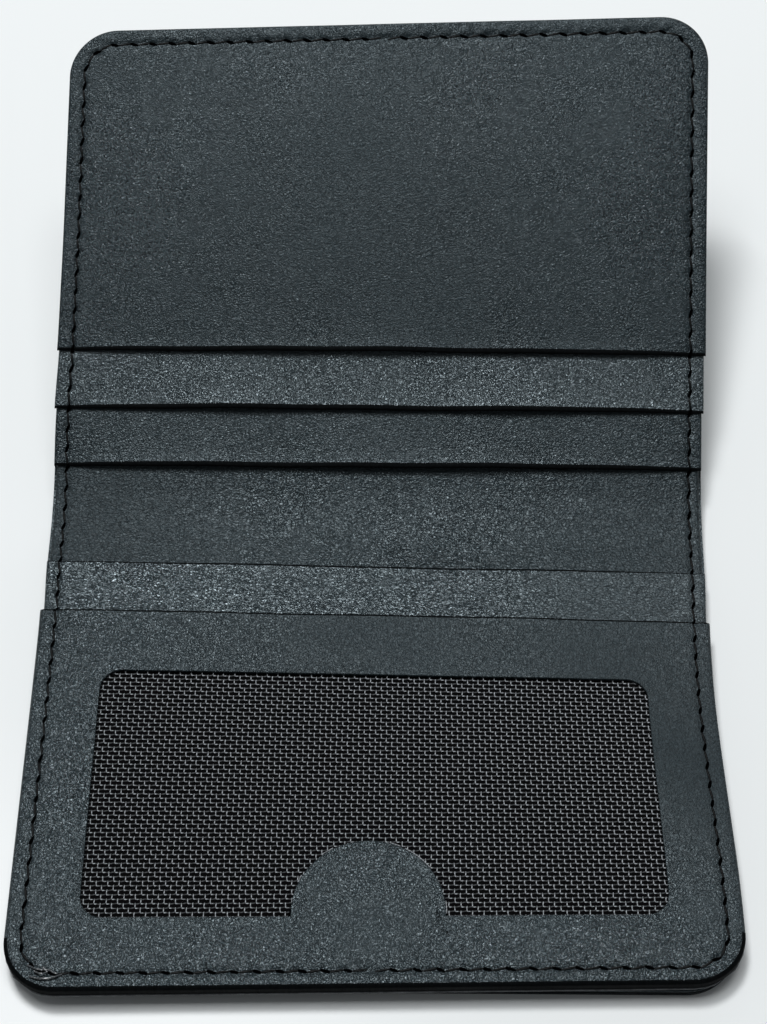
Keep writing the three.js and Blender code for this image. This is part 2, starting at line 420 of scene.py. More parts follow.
def rounded_loop(x0, x1, s0, s1, near_r, far_r, grow, tab=False):
    """A closed loop of points round a rectangle, pushed out by grow; the far side may carry the tab."""
    x0, x1, s0, s1 = x0 - grow, x1 + grow, s0 - grow, s1 + grow
    points = []

    def line(a, b, count):
        for i in range(count):
            w = i / count
            points.append((a[0] + (b[0] - a[0]) * w, a[1] + (b[1] - a[1]) * w))

    def arc(cx, cs, radius, start, count):
        for i in range(count):
            w = start + math.pi / 2 * i / count
            points.append((cx + radius * math.cos(w), cs + radius * math.sin(w)))

    rn, rf = max(near_r + grow, 0.001), max(far_r + grow, 0.001)
    arc(x0 + rn, s0 + rn, rn, math.pi, LOOP_NEAR_CORNER)
    line((x0 + rn, s0), (x1 - rn, s0), LOOP_MOUTH)
    arc(x1 - rn, s0 + rn, rn, -math.pi / 2, LOOP_NEAR_CORNER)
    line((x1, s0 + rn), (x1, s1 - rf), LOOP_SIDE)
    arc(x1 - rf, s1 - rf, rf, 0, LOOP_FAR_CORNER)
    if tab:
        radius = TAB_R - grow
        dip = math.asin((grow + TAB_RISE) / radius)
        centre = s1 - grow - TAB_RISE
        left, right = TAB_X - radius * math.cos(dip), TAB_X + radius * math.cos(dip)
        line((x1 - rf, s1), (right, s1), LOOP_THIRD)
        for i in range(LOOP_THIRD):
            w = -dip + (math.pi + 2 * dip) * i / LOOP_THIRD
            points.append((TAB_X + radius * math.cos(w), centre - radius * math.sin(w)))
    else:
        left, right = TAB_X - TAB_R - 4, TAB_X + TAB_R + 4
        line((x1 - rf, s1), (right, s1), LOOP_THIRD)
        line((right, s1), (left, s1), LOOP_THIRD)
    line((left, s1), (x0 + rf, s1), LOOP_THIRD)
    arc(x0 + rf, s1 - rf, rf, math.pi / 2, LOOP_FAR_CORNER)
    line((x0, s1 - rf), (x0, s0 + rn), LOOP_SIDE)
    return np.array(points)


OUTER_INSETS = (0, 0.03, 0.1, 0.22, 0.38, 0.56, 0.78, 1.1, 1.4)
OUTER_INSETS += (1.7, 1.95, 2.2, 2.4, 2.6, 2.85, 3.15, 3.6, 4.2)
INNER_INSETS = (1.3, 0.8, 0.5, 0.3, 0.15, 0.05, 0)
BETWEEN_LOOPS = 7  # steps from the last outer loop to the first inner one
WINDOW_CUT = 0.12  # how far the cut edge of the opening is rounded
# How many loops are painted dark: the first ones at the mouth and at the free end, as painted shade on the turned
# edges there, and the last ones all round, the edge dye of the rim and underside
SHADE_MOUTH_LOOPS = 4
SHADE_FAR_LOOPS = 5
DYED_LAST_LOOPS = 4


def window_frame(material):
    """The ID window's frame: loops from the outer edge in to the opening, then back underneath."""
    layer = WINDOW
    args = (-layer.half, layer.half, layer.mouth, LEAF, 0.0, CORNER_R)
    hole = (-WINDOW_HALF, WINDOW_HALF, WINDOW_NEAR, WINDOW_FAR, WINDOW_R, WINDOW_R)
    loops = [rounded_loop(*args, -inset) for inset in OUTER_INSETS]
    inner = [rounded_loop(*hole, inset, tab=True) for inset in INNER_INSETS]
    step = (inner[0] - loops[-1]) / BETWEEN_LOOPS
    between = [loops[-1] + step * i for i in range(1, BETWEEN_LOOPS)]
    loops = loops + between + inner
    count = len(loops[0])
    vertices, uv = [], []
    skirt = INNER_LOW - 0.06

    def add(points, heights):
        x, s = points[:, 0], points[:, 1]
        wander = (layer.mouth_line(x) - layer.mouth) * np.clip(1 - (s - layer.mouth) / 6.0, 0, 1)
        t = -(s + wander)
        vertices.append(place(x, t, heights(x, t)))
        uv.append(np.stack([x / 10 + 15.5, t / 10], -1))

    first_inner = len(loops) - len(INNER_INSETS)
    for i, points in enumerate(loops):
        cut = 0.0
        if i >= first_inner:
            inset = np.array([INNER_INSETS[i - first_inner]])
            cut = float(edge_roll(inset, WINDOW_CUT * 1.6, WINDOW_CUT)[0])
        add(points, lambda x, t, cut=cut: layer.upper(x, t) - cut)
    under = layer.low + 0.04
    add(loops[-1], lambda x, t: under + layer.lift(x, np.abs(t) - layer.mouth))
    add(rounded_loop(*args, -0.62), layer.under)

    def hem(x, t):
        """The turned edge wraps down over the layers below on the three sewn sides."""
        sewn = smooth(0.0, 0.35, np.abs(t) - layer.mouth_line(x) - 0.3)
        return layer.under(x, t) * (1 - sewn) + skirt * sewn

    add(rounded_loop(*args, -0.3), hem)
    add(rounded_loop(*args, -0.05), hem)
    rings = len(vertices)
    faces = []
    for r in range(rings):
        r2 = (r + 1) % rings
        for i in range(count):
            j = (i + 1) % count
            faces.append([r * count + i, r * count + j, r2 * count + j, r2 * count + i])
    faces = [f[::-1] for f in faces]
    # Painted shade on the first loops at the mouth and at the free end; edge dye on the last loops.
    marks = np.zeros((rings, count), int)
    marks[:SHADE_MOUTH_LOOPS, MOUTH_PART] = 1
    marks[:SHADE_FAR_LOOPS, FAR_PART] = 1
    marks[rings - DYED_LAST_LOOPS :] = 1
    vertices, uv = np.concatenate(vertices), np.concatenate(uv)
    obj = new_object(layer.node, vertices, faces, uv, [material, EDGE_DYE_AND_SHADE], marks=marks.ravel())
    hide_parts(layer.node)
    return obj


def tube(points, radius, sides=6, flatten=1.0):
    """Vertices and faces of a closed tube along points (in metres), capped shut at both ends."""
    points = np.asarray(points, float)
    count = len(points)
    tangent = np.gradient(points, axis=0)
    tangent /= np.linalg.norm(tangent, axis=1)[:, None]
    side = np.cross(tangent, (0, 0, 1.0))
    side /= np.linalg.norm(side, axis=1)[:, None]
    lift = np.cross(side, tangent)
    radius = np.broadcast_to(radius, (count,))
    vertices = []
    for k in range(sides):
        w = 2 * math.pi * k / sides
        vertices.append(points + radius[:, None] * (math.cos(w) * side + flatten * math.sin(w) * lift))
    vertices = np.stack(vertices, 1).reshape(-1, 3)
    faces = []
    for i in range(count - 1):
        for k in range(sides):
            m = (k + 1) % sides
            faces.append([i * sides + k, i * sides + m, (i + 1) * sides + m, (i + 1) * sides + k])
    faces.append(list(range(sides))[::-1])
    faces.append([(count - 1) * sides + k for k in range(sides)])
    return vertices, faces


class Bundle:
    """Collects many small closed pieces into one mesh."""

    def __init__(self):
        self.vertices, self.faces, self.marks, self.count = [], [], [], 0

    def add(self, vertices, faces, mark=0):
        self.vertices.append(vertices)
        self.faces += [[int(i) + self.count for i in face] for face in faces]
        self.marks += [mark] * len(faces)
        self.count += len(vertices)

    def build(self, name, materials):
        vertices = np.concatenate(self.vertices)
        return new_object(name, vertices, self.faces, None, materials, sharp=60, marks=self.marks)


# ---------------------------------------------------------------- materials


class Nodes:
    """Small helper for building a material's node tree."""

    def __init__(self, name):
        self.material = bpy.data.materials.new(name)
        self.material.use_nodes = True
        self.tree = self.material.node_tree
        self.shader = self.tree.nodes["Principled BSDF"]

    def add(self, kind, inputs=None, **settings):
        node = self.tree.nodes.new(kind)
        for key, value in settings.items():
            setattr(node, key, value)
        for key, value in (inputs or {}).items():
            self.set(node, key, value)
        return node

    def set(self, node, key, value):
        if hasattr(value, "is_output"):
            self.tree.links.new(value, node.inputs[key])
        else:
            node.inputs[key].default_value = value

    def maths(self, operation, a, b=0.0, clamp=False):
        node = self.add("ShaderNodeMath", {0: a, 1: b}, operation=operation, use_clamp=clamp)
        return node.outputs[0]

    def ramp(self, value, stops):
        node = self.add("ShaderNodeValToRGB", {"Fac": value})
        elements = node.color_ramp.elements
        while len(elements) < len(stops):
            elements.new(0.5)
        for element, (position, colour) in zip(elements, stops):
            element.position = position
            element.color = (*colour, 1) if len(colour) == 3 else colour
        return node.outputs["Color"]

    def bumpy(self, height, strength, distance):
        bump = self.add("ShaderNodeBump", {"Height": height, "Strength": strength, "Distance": distance})
        self.set(self.shader, "Normal", bump.outputs["Normal"])

    def rough(self, value, spread, least):
        roughness = self.maths("ADD", self.maths("MULTIPLY", value, spread), least)
        self.set(self.shader, "Roughness", roughness)

    def scaled(self, vector, scale):
        node = self.add("ShaderNodeMapping", {"Vector": vector, "Scale": scale})
        return node.outputs["Vector"]


def leather(
    name, tint, roughness, grain, stretch=(1.0, 1.0), coarse=0.35, relief=0.16, lustre=0.36, dull=()
):
    """Pebbled leather: cells and slow wrinkles in the relief, with painted shade in its low parts, and polished
    patches.
    The texture runs on the flat coordinates, in centimetres. dull lists the unpolished places, each as
    (x, t, radius, how much rougher)."""
    n = Nodes(name)
    at = n.add("ShaderNodeUVMap", uv_map="UVMap").outputs["UV"]
    bent = n.add("ShaderNodeTexNoise", {"Vector": at, "Scale": 9.0, "Detail": 3.0}, noise_dimensions="3D")
    middle = (0.5, 0.5, 0.5)
    push = n.add("ShaderNodeVectorMath", {0: bent.outputs["Color"], 1: middle}, operation="SUBTRACT")
    push = n.add("ShaderNodeVectorMath", {0: push.outputs[0], 3: 0.05}, operation="SCALE")
    moved = n.add("ShaderNodeVectorMath", {0: at, 1: push.outputs[0]}, operation="ADD").outputs[0]
    stretched = n.scaled(moved, (stretch[0], stretch[1], 1.0))
    cells = n.add(
        "ShaderNodeTexVoronoi",
        {"Vector": stretched, "Scale": grain, "Randomness": 0.95},
        feature="DISTANCE_TO_EDGE",
    ).outputs["Distance"]
    pebbles = n.maths("POWER", n.maths("MULTIPLY", cells, 3.2, clamp=True), 0.55)
    worms = n.add(
        "ShaderNodeTexNoise",
        {"Vector": stretched, "Scale": grain * 1.15, "Detail": 1.5, "Distortion": 0.9},
    ).outputs["Fac"]
    slow = n.add("ShaderNodeTexNoise", {"Vector": stretched, "Scale": 3.2, "Detail": 4.0}).outputs["Fac"]
    patch = n.add("ShaderNodeTexNoise", {"Vector": at, "Scale": 0.55, "Detail": 3.0}).outputs["Fac"]
    height = n.maths("ADD", n.maths("MULTIPLY", pebbles, 0.2), worms)
    height = n.maths("ADD", height, n.maths("MULTIPLY", slow, coarse))
    bump = n.add("ShaderNodeBump", {"Height": height, "Strength": 1.0, "Distance": relief * MM})
    n.set(n.shader, "Normal", bump.outputs["Normal"])
    n.set(n.shader, "Specular Tint", (0.8, 0.94, 1.0, 1.0))
    # Painted shade: the base colour darkens towards the low parts of the grain's relief, down to 0.3 of the tint;
    # the patch noise adds random tone.
    creases = n.maths("MULTIPLY", n.maths("SUBTRACT", worms, 0.36), 3.4, clamp=True)
    painted_shade_and_tone = n.maths("ADD", n.maths("MULTIPLY", creases, 0.6), n.maths("MULTIPLY", patch, 0.4))
    dark = tuple(c * 0.3 for c in tint)
    light = tuple(c * 1.45 for c in tint)
    n.set(n.shader, "Base Color", n.ramp(painted_shade_and_tone, [(0.15, dark), (0.85, light)]))
    rough = n.maths("ADD", n.maths("MULTIPLY", patch, 0.4), roughness - 0.2)
    rough = n.maths("SUBTRACT", rough, n.maths("MULTIPLY", creases, 0.04))
    for x, t, radius, rougher in dull:
        gap = n.add("ShaderNodeVectorMath", {0: at, 1: (x, t, 0.0)}, operation="DISTANCE").outputs["Value"]
        near = n.maths("SUBTRACT", 1.0, n.maths("DIVIDE", gap, radius), clamp=True)
        rough = n.maths("ADD", rough, n.maths("MULTIPLY", near, rougher))
    n.set(n.shader, "Roughness", rough)
    n.set(n.shader, "Specular IOR Level", lustre)
    return n.material


def thread_material(name, colour, roughness, lustre=0.5, twist=900.0):
    """Twisted yarn: slanting strands with a little fuzz."""
    n = Nodes(name)
    n.set(n.shader, "Specular IOR Level", lustre)
    at = n.add("ShaderNodeTexCoord").outputs["Object"]
    turned = n.add("ShaderNodeMapping", {"Vector": at, "Rotation": (0.5, 0.2, 0.9)}).outputs["Vector"]
    wave = n.add("ShaderNodeTexWave", {"Vector": turned, "Scale": twist, "Distortion": 1.5, "Detail": 2.0})
    fuzz = n.add("ShaderNodeTexNoise", {"Vector": at, "Scale": 2600.0, "Detail": 3.0}).outputs["Fac"]
    both = n.maths("ADD", n.maths("MULTIPLY", wave.outputs["Fac"], 0.7), n.maths("MULTIPLY", fuzz, 0.3))
    n.bumpy(both, 0.5, 0.00006)
    dark = tuple(c * 0.6 for c in colour)
    light = tuple(min(c * 1.4, 1) for c in colour)
    n.set(n.shader, "Base Color", n.ramp(both, [(0.2, dark), (0.8, light)]))
    n.rough(fuzz, 0.2, roughness - 0.1)
    return n.material


def cloth_material(name, colour, pitch):
    """Plain-woven lining cloth: over-and-under bumps at the pitch given, in metres."""
    n = Nodes(name)
    at = n.add("ShaderNodeTexCoord").outputs["Object"]
    split = n.add("ShaderNodeSeparateXYZ", {"Vector": at})
    warp_wave = n.maths("SINE", n.maths("MULTIPLY", split.outputs["X"], 2 * math.pi / pitch))
    weft_wave = n.maths("SINE", n.maths("MULTIPLY", split.outputs["Y"], 2 * math.pi / pitch))
    weave = n.maths("MULTIPLY", warp_wave, weft_wave)
    lint = n.add("ShaderNodeTexNoise", {"Vector": at, "Scale": 900.0, "Detail": 3.0}).outputs["Fac"]
    n.bumpy(weave, 0.4, 0.00005)
    dark = tuple(c * 0.7 for c in colour)
    light = tuple(c * 1.3 for c in colour)
    n.set(n.shader, "Base Color", n.ramp(lint, [(0.3, dark), (0.7, light)]))
    n.rough(lint, 0.15, 0.8)
    n.set(n.shader, "Specular IOR Level", 0.05)
    return n.material


def board_material():
    n = Nodes("board")
    at = n.add("ShaderNodeTexCoord").outputs["Object"]
    drawn = n.scaled(at, (400, 1500, 900))
    fibres = n.add("ShaderNodeTexNoise", {"Vector": drawn, "Scale": 1.0, "Detail": 5.0}).outputs["Fac"]
    n.bumpy(fibres, 0.3, 0.00005)
    dark, light = (0.035, 0.033, 0.03), (0.06, 0.057, 0.052)
    n.set(n.shader, "Base Color", n.ramp(fibres, [(0.3, dark), (0.7, light)]))
    n.rough(fibres, 0.1, 0.85)
    return n.material


TINT = (0.0122, 0.0182, 0.0212)

# Places where a panel's leather is duller (or, below 0, more polished), in its texture coordinates:
# x and t in centimetres, radius, and how much rougher in the middle
PANEL_DULL = [(3.1, 4.6, 3.4, 0.1), (7.4, 5.0, 2.6, -0.1), (-1.4, 5.0, 2.2, -0.08)]
STRIP_DULL = [(16.7, -1.4, 3.2, 0.28)]
INNER_DULL = [(16.8, -0.2, 2.8, 0.26), (25.2, -0.4, 2.4, 0.2)]
FRAME_DULL = [(20.2, -4.3, 3.2, 0.4), (15.0, -2.2, 3.2, 0.24)]
FRAME_DULL += [(18.6, -2.2, 2.8, 0.2), (19.0, -7.2, 2.4, -0.12)]
LEATHER_PANEL = leather("leather_panel", TINT, 0.3, 27.0, (1.0, 1.0), 0.25, 0.15, 0.38, dull=PANEL_DULL)
LEATHER_SHINY = leather("leather_shiny", TINT, 0.3, 23.0, stretch=(1.25, 0.85), relief=0.22, lustre=0.95)
LEATHER_DULL = leather("leather_dull", TINT, 0.3, 24.0, coarse=0.4, relief=0.17, lustre=0.5)
LEATHER_FRAME = leather("leather_frame", TINT, 0.25, 25.0, (1.1, 0.9), 0.35, 0.19, 0.52, dull=FRAME_DULL)
LEATHER_STRIP = leather("leather_strip", TINT, 0.25, 18.0, (0.8, 1.3), 0.7, 0.25, 0.78, dull=STRIP_DULL)
LEATHER_INNER = leather("leather_inner", TINT, 0.29, 21.0, (0.85, 1.15), 0.6, 0.21, 0.47, dull=INNER_DULL)
LEATHER_OUTER = leather("leather_outer", TINT, 0.38, 17.0, coarse=0.5, relief=0.2, lustre=0.5)
# Near-black edge dye on the rims; the same material is laid on the mouths' turned edges and the window frame's
# free end as painted shade.
EDGE_DYE_AND_SHADE = leather("edge_dye_and_painted_shade", (0.0016, 0.0018, 0.002), 0.75, 20.0, relief=0.05, lustre=0.06)
THREAD = thread_material("black_thread", (0.0025, 0.0028, 0.003), 0.5, lustre=0.12)
# Near-black and lightless: painted shade filling the needle holes.
HOLE_SHADE = thread_material("needle_hole_painted_shade", (0.0006, 0.0006, 0.0007), 0.9, lustre=0.0)
LOOSE = thread_material("loose_thread", (0.05, 0.055, 0.06), 0.25, lustre=0.8)
SEWN = [THREAD, HOLE_SHADE, LOOSE]
# Light grey: painted highlights on the mesh's short links and frayed ends.
MESH_LINK_HIGHLIGHT = thread_material("mesh_link_painted_highlight", (0.34, 0.36, 0.38), 0.4)
MESH_THREAD = thread_material("mesh_thread", (0.06, 0.064, 0.068), 0.5)
MESH_CLOTH = cloth_material("mesh_cloth", (0.001, 0.001, 0.0012), 0.0005)
LINING = cloth_material("lining_cloth", (0.012, 0.013, 0.014), 0.0004)
LINING_EDGE = cloth_material("pocket_lining_cloth", (0.24, 0.25, 0.26), 0.0004)
BOARD = board_material()

# ---------------------------------------------------------------- leather pieces


def rides_on(obj, body):
    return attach(obj, body)


UNDER_MOUTH = 1.5  # a covered panel stays fine this far in under the mouth above it

rides_on(panel(POCKETS[1], LEATHER_PANEL), "front_leaf")
rides_on(panel(POCKETS[2], LEATHER_SHINY, MOUTH_1 + UNDER_MOUTH), "front_leaf")
rides_on(panel(POCKETS[3], LEATHER_DULL, MOUTH_2 + UNDER_MOUTH), "front_leaf")
rides_on(panel(POCKETS[4], LEATHER_STRIP, MOUTH_WINDOW + UNDER_MOUTH), "window_leaf")
rides_on(window_frame(LEATHER_FRAME), "window_leaf")


def through_rows(dense_to, step, hidden_step, length):
    """Rows from one free end through the fold to the other, close together near the fold."""
    near = spaced(-dense_to, dense_to, step)
    far = spaced(dense_to, length, hidden_step, FINE)
    return np.concatenate([-far[:0:-1], near, far[1:]])


def across_fold(obj):
    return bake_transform(obj)


def continuous(name, half, length, rows, step, upper, under, material, nodes, shift):
    """A leather layer in one piece through the front fold."""
    columns = column_shares(half, step)
    halves = outline_half(np.abs(rows), half, length)
    grid = np.repeat(rows[:, None], len(columns), 1)
    obj = slab(name, grid, columns, halves, upper, under, material, shift=shift)
    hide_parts(*nodes)
    return across_fold(obj)


DENSE_TO = 13.0  # rows are close together this far each side of the fold
INNER_END = LEAF - 0.7

continuous(
    "inner_base_leather",
    HALF_BASE,
    INNER_END,
    through_rows(DENSE_TO, 0.35, 3.0, INNER_END),
    0.6,
    inner_top,
    lambda x, t: INNER_LOW + 0 * x,
    [LEATHER_INNER, EDGE_DYE_AND_SHADE],
    ("inner_base_window", "inner_base_front"),
    21.0,
)

REAR_LOW, REAR_TOP = levels("window_leaf_rear_leather")
COVER_LOW, COVER_TOP = levels("front_cover_leather")


def outer_level(t, lower, front):
    w = smooth(-BEND, BEND, t)
    return lower * (1 - w) + front * w


def outer_under(x, t):
    """The wallet's outside: the underside of the window leaf and of the front leaf, with its own seam."""
    h = outer_level(t, REAR_LOW, COVER_LOW) - seam_relief(x, t, 8) - 0.05 * hills(x, t, 15.0, 14)
    return h + edge_roll(edge_distance(x, t, HALF_BASE, LEAF), 0.6, 0.2)


def outer_top(x, t):
    return outer_level(t, REAR_TOP, COVER_TOP) - edge_roll(edge_distance(x, t, HALF_BASE, LEAF), 0.4, 0.12)


continuous(
    "outer_leather",
    HALF_BASE + 0.5,
    LEAF,
    through_rows(DENSE_TO, 0.6, 0.8, LEAF),
    0.75,
    outer_top,
    outer_under,
    [LEATHER_OUTER, EDGE_DYE_AND_SHADE],
    ("window_leaf_rear_leather", "front_cover_leather"),
    33.0,
)

BACK_END = LEAF - 0.75
BACK_HALF = HALF_BASE + 0.4
BACK_STEP = 0.6
FACING_SINK = 0.06
FACING_MOST_RELIEF = 0.05
BACK_LOW, BACK_TOP = levels("back_cover_leather")
FACING_LOW, FACING_TOP = levels("back_leaf_facing")


def back_relief(x, t):
    return seam_relief(x, t * LEAF / BACK_END, 9)


def back_sheet(node, near, upper, under, shift):
    """One of the back leaf's two leathers, from near the fold to the free end."""
    s = spaced(near, BACK_END, BACK_STEP, FINE)
    columns = column_shares(BACK_HALF, BACK_STEP)
    halves = outline_half(s, BACK_HALF, BACK_END)
    rows = np.repeat(-s[:, None], len(columns), 1)
    materials = [LEATHER_OUTER, EDGE_DYE_AND_SHADE]
    obj = slab(node, rows, columns, halves, upper, under, materials, slanted=False, shift=shift)
    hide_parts(node)
    rides_on(obj, "back_leaf")


def back_edge(x, t, width, drop):
    return edge_roll(edge_distance(x, t, BACK_HALF, BACK_END), width, drop)


def cover_top(x, t):
    return BACK_TOP - back_edge(x, t, 0.3, 0.08)


def cover_under(x, t):
    return np.maximum(BACK_LOW - back_relief(x, t), BACK_LOW) + back_edge(x, t, 0.7, 0.3)


def facing_upper(x, t):
    relief = np.minimum(back_relief(x, t), FACING_MOST_RELIEF)
    return FACING_TOP - FACING_SINK + relief - back_edge(x, t, 0.7, 0.25)


def facing_under(x, t):
    """Flat, with a hem that turns down over the layers between."""
    return FACING_LOW - 0.36 * smooth(0.5, 0.2, edge_distance(x, t, BACK_HALF, BACK_END))


back_sheet("back_cover_leather", 1.9, cover_top, cover_under, 45.0)
back_sheet("back_leaf_facing", 2.0, facing_upper, facing_under, 57.0)

# The strip that joins the back leaf to the window leaf round the outside of the spine
GUSSET_THICK = 0.45


def gusset_line():
    """Middle line of the folded strip, as (t, n): out under the fold, round, and back."""
    low, high, out = BACK_LOW + 0.28, REAR_LOW - 0.3, 0.5
    middle, radius = (low + high) / 2, (high - low) / 2
    line = [(-1.85 + 2.35 * i / 8, low) for i in range(8)]
    for w in np.linspace(0, math.pi, 15):
        line.append((out + 1.25 * radius * math.sin(w), middle - radius * math.cos(w)))
    line += [(out - (out + 1.8) * i / 8, high) for i in range(1, 9)]
    return np.array(line)


def spine_gusset():
    line = gusset_line()
    tangent = np.gradient(line, axis=0)
    tangent /= np.linalg.norm(tangent, axis=1)[:, None]
    normal = np.stack([tangent[:, 1], -tangent[:, 0]], 1)
    outside = line + normal * GUSSET_THICK / 2
    inside = line - normal * GUSSET_THICK / 2
    profile = np.concatenate([outside, inside[::-1]])
    columns = spaced(-HALF_BASE, HALF_BASE, 0.8, (0.15, 0.4))
    count = len(profile)
    vertices, uv = [], []
    for x in columns:
        swell = 0.03 * noise.noise((x / 6, 3.3, 1.7))
        for k, (t, n) in enumerate(profile):
            vertices.append((x * MM, (FOLD_Y + t + swell) * MM, n * MM))
            uv.append((x / 10 + 71, k * 0.03))
    faces = []
    for i in range(len(columns) - 1):
        for k in range(count):
            m = (k + 1) % count
            faces.append([i * count + k, i * count + m, (i + 1) * count + m, (i + 1) * count + k])
    half = count // 2
    for k in range(half - 1):
        a, b = k, k + 1
        c, d = count - 2 - k, count - 1 - k
        faces.append([a, d, c, b])
        base = (len(columns) - 1) * count
        faces.append([base + a, base + b, base + c, base + d])
    obj = new_object("spine_strip_leather", vertices, faces, uv, LEATHER_OUTER)
    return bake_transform(obj)


spine_gusset()

# ---------------------------------------------------------------- stitching

THREAD_R = 0.2
HOLE_R = 0.34
HOLE_LENGTH = 1.5
HOLE_SLANT = 0.6  # how far a needle hole crosses the seam line from end to end


def seam_point(along, side, sign):
    """x and t on the seam, and the outward direction there."""
    if along < SEAM_SIDE:
        x, s, out = SEAM_X, along, (1, 0)
    elif along < SEAM_SIDE + SEAM_ARC:
        w = (along - SEAM_SIDE) / SEAM_R
        x, s = SEAM_TOP + SEAM_R * math.cos(w), SEAM_SIDE + SEAM_R * math.sin(w)
        out = (math.cos(w), math.sin(w))
    else:
        x, s, out = SEAM_TOP - (along - SEAM_SIDE - SEAM_ARC), SEAM_END, (0, 1)
    return side * x, sign * s, side * out[0], sign * out[1]


def seam_thread(bundle, start, stop, crossing, radius, rise, mark, side, sign, look):
    """One short length of thread, or one needle hole's dark blob of painted shade, laid along the seam.
    crossing is how far it goes across the seam line from end to end, rise its height at the middle."""
    height_at, slanted, down, share = look
    steps = 9
    points, radii = [], []
    for i in range(steps):
        w = i / (steps - 1)
        x, t, out_x, out_t = seam_point(min(max(start + (stop - start) * w, 0), SEAM_LENGTH), side, sign)
        across = crossing * (w - 0.5)
        x, t = x + out_x * across, t + out_t * across
        round_end = math.sin(math.pi * w) ** 0.5
        surface = height_at(x, t)
        n = surface - rise[0] - (rise[1] - rise[0]) * round_end
        n = n if down else 2 * surface - n
        points.append(place(x, t * share, n, slanted))
        radii.append(radius * (0.45 + 0.55 * round_end) * MM)
    vertices, faces = tube(points, np.array(radii), sides=7, flatten=0.85)
    bundle.add(vertices, faces, mark)


def stitch(bundle, along, side, sign, look):
    """A needle hole, as a dark blob of painted shade slanting across the seam, and the thread from it to the next
    one.
    """
    wobble = noise.noise((along * 0.9, side * 3.0, sign * 5.0 + (2.0 if look[2] else 0.0)))
    lean = HOLE_SLANT * (1 + 0.4 * wobble) * side * sign
    half = HOLE_LENGTH / 2 * (1 + 0.15 * wobble)
    seam_thread(bundle, along - half, along + half, lean, HOLE_R, (-0.2, -0.1), 1, side, sign, look)
    start, stop = along + half * 0.45, along + PITCH - half * 0.45
    seam_thread(bundle, start, stop, -lean * 0.7, THREAD_R, (-0.15, -0.02), 0, side, sign, look)


def sew():
    """All the seams, sorted by what they ride on."""
    window_side, front_side, fold_side = Bundle(), Bundle(), Bundle()
    for sign in (-1, 1):
        for side in (-1, 1):
            for i in range(STITCHES):
                along = i * PITCH
                bundle = window_side if sign < 0 else front_side
                if along < BEND + 0.5:
                    bundle = fold_side
                stitch(bundle, along, side, sign, (top_at, True, False, 1.0))
                stitch(bundle, along, side, sign, (outside_at, True, True, 1.0))
    return window_side, front_side, fold_side


def outside_at(x, t):
    x, t = np.array([float(x)]), np.array([float(t)])
    return float(outer_under(x, t)[0])


def thread_ends(bundle):
    """The seam starts and ends at the lower left corner, in a small knot with two loose ends."""
    tails = [
        [(-46.6, 73.4, 0.1), (-45.2, 74.3, 0.35), (-43.6, 74.2, 0.4), (-42.4, 74.9, 0.2)],
        [(-46.2, 75.1, 0.15), (-44.8, 75.6, 0.35), (-43.0, 75.5, 0.35), (-41.8, 74.8, 0.15)],
        [(-45.6, 74.4, 0.3), (-44.6, 75.0, 0.5), (-43.8, 74.6, 0.45), (-44.4, 73.8, 0.25)],
    ]
    for tail in tails:
        along = np.linspace(0, len(tail) - 1, 16)
        knots = np.arange(len(tail))
        x, s, rise = (np.interp(along, knots, [point[k] for point in tail]) for k in range(3))
        soft = np.convolve(np.pad(s, 2, mode="edge"), np.ones(5) / 5, mode="valid")
        points = [place(a, -b, top_at(a, -b) + c) for a, b, c in zip(x, soft, rise)]
        vertices, faces = tube(points, 0.13 * MM, sides=6)
        bundle.add(vertices, faces, 2)


def sewn_on(leaf, bundle):
    """A leaf's stitches, in place of its CAD node."""
    obj = bundle.build(leaf + "_stitches", SEWN)
    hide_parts(leaf + "_stitching")
    rides_on(obj, leaf)


window_side, front_side, fold_side = sew()
thread_ends(window_side)
sewn_on("window_leaf", window_side)
sewn_on("front_leaf", front_side)
fold_stitches = fold_side.build("fold_stitches", SEWN)
across_fold(fold_stitches)


def sew_back():
    bundle = Bundle()
    share = BACK_END / LEAF

    def below(x, t):
        x, t = np.array([float(x)]), np.array([float(t) * share])
        return float(max(BACK_LOW - back_relief(x, t)[0], BACK_LOW)) + 0.16

    def above(x, t):
        x, t = np.array([float(x)]), np.array([float(t) * share])
        return float(FACING_TOP - FACING_SINK + min(back_relief(x, t)[0], FACING_MOST_RELIEF)) - 0.08

    for side in (-1, 1):
        for i in range(1, STITCHES):
            stitch(bundle, i * PITCH, side, -1, (above, False, False, share))
            stitch(bundle, i * PITCH, side, -1, (below, False, True, share))
    sewn_on("back_leaf", bundle)


sew_back()

# ---------------------------------------------------------------- window mesh

MESH_LOW, MESH_TOP = levels("id_window_mesh")
MESH_X = WINDOW_HALF + 1.6
MESH_NEAR = WINDOW_NEAR - 1.6
MESH_FAR = WINDOW_FAR + 1.6
ROW_PITCH = 0.655
BRICK = 1.6
MESH_THREAD_R = 0.08
LINK_HOOK = [(0.08, 0.03), (0.24, 0.05), (0.42, 0.03)]  # a link turns aside where it meets the next row
# Stretches of the tab's rim, in degrees, where a cut thread shows, coloured light as a painted highlight on the
# cut edge
FRAYED = [(38, 62), (66, 74), (118, 128), (150, 156), (-2, 8)]


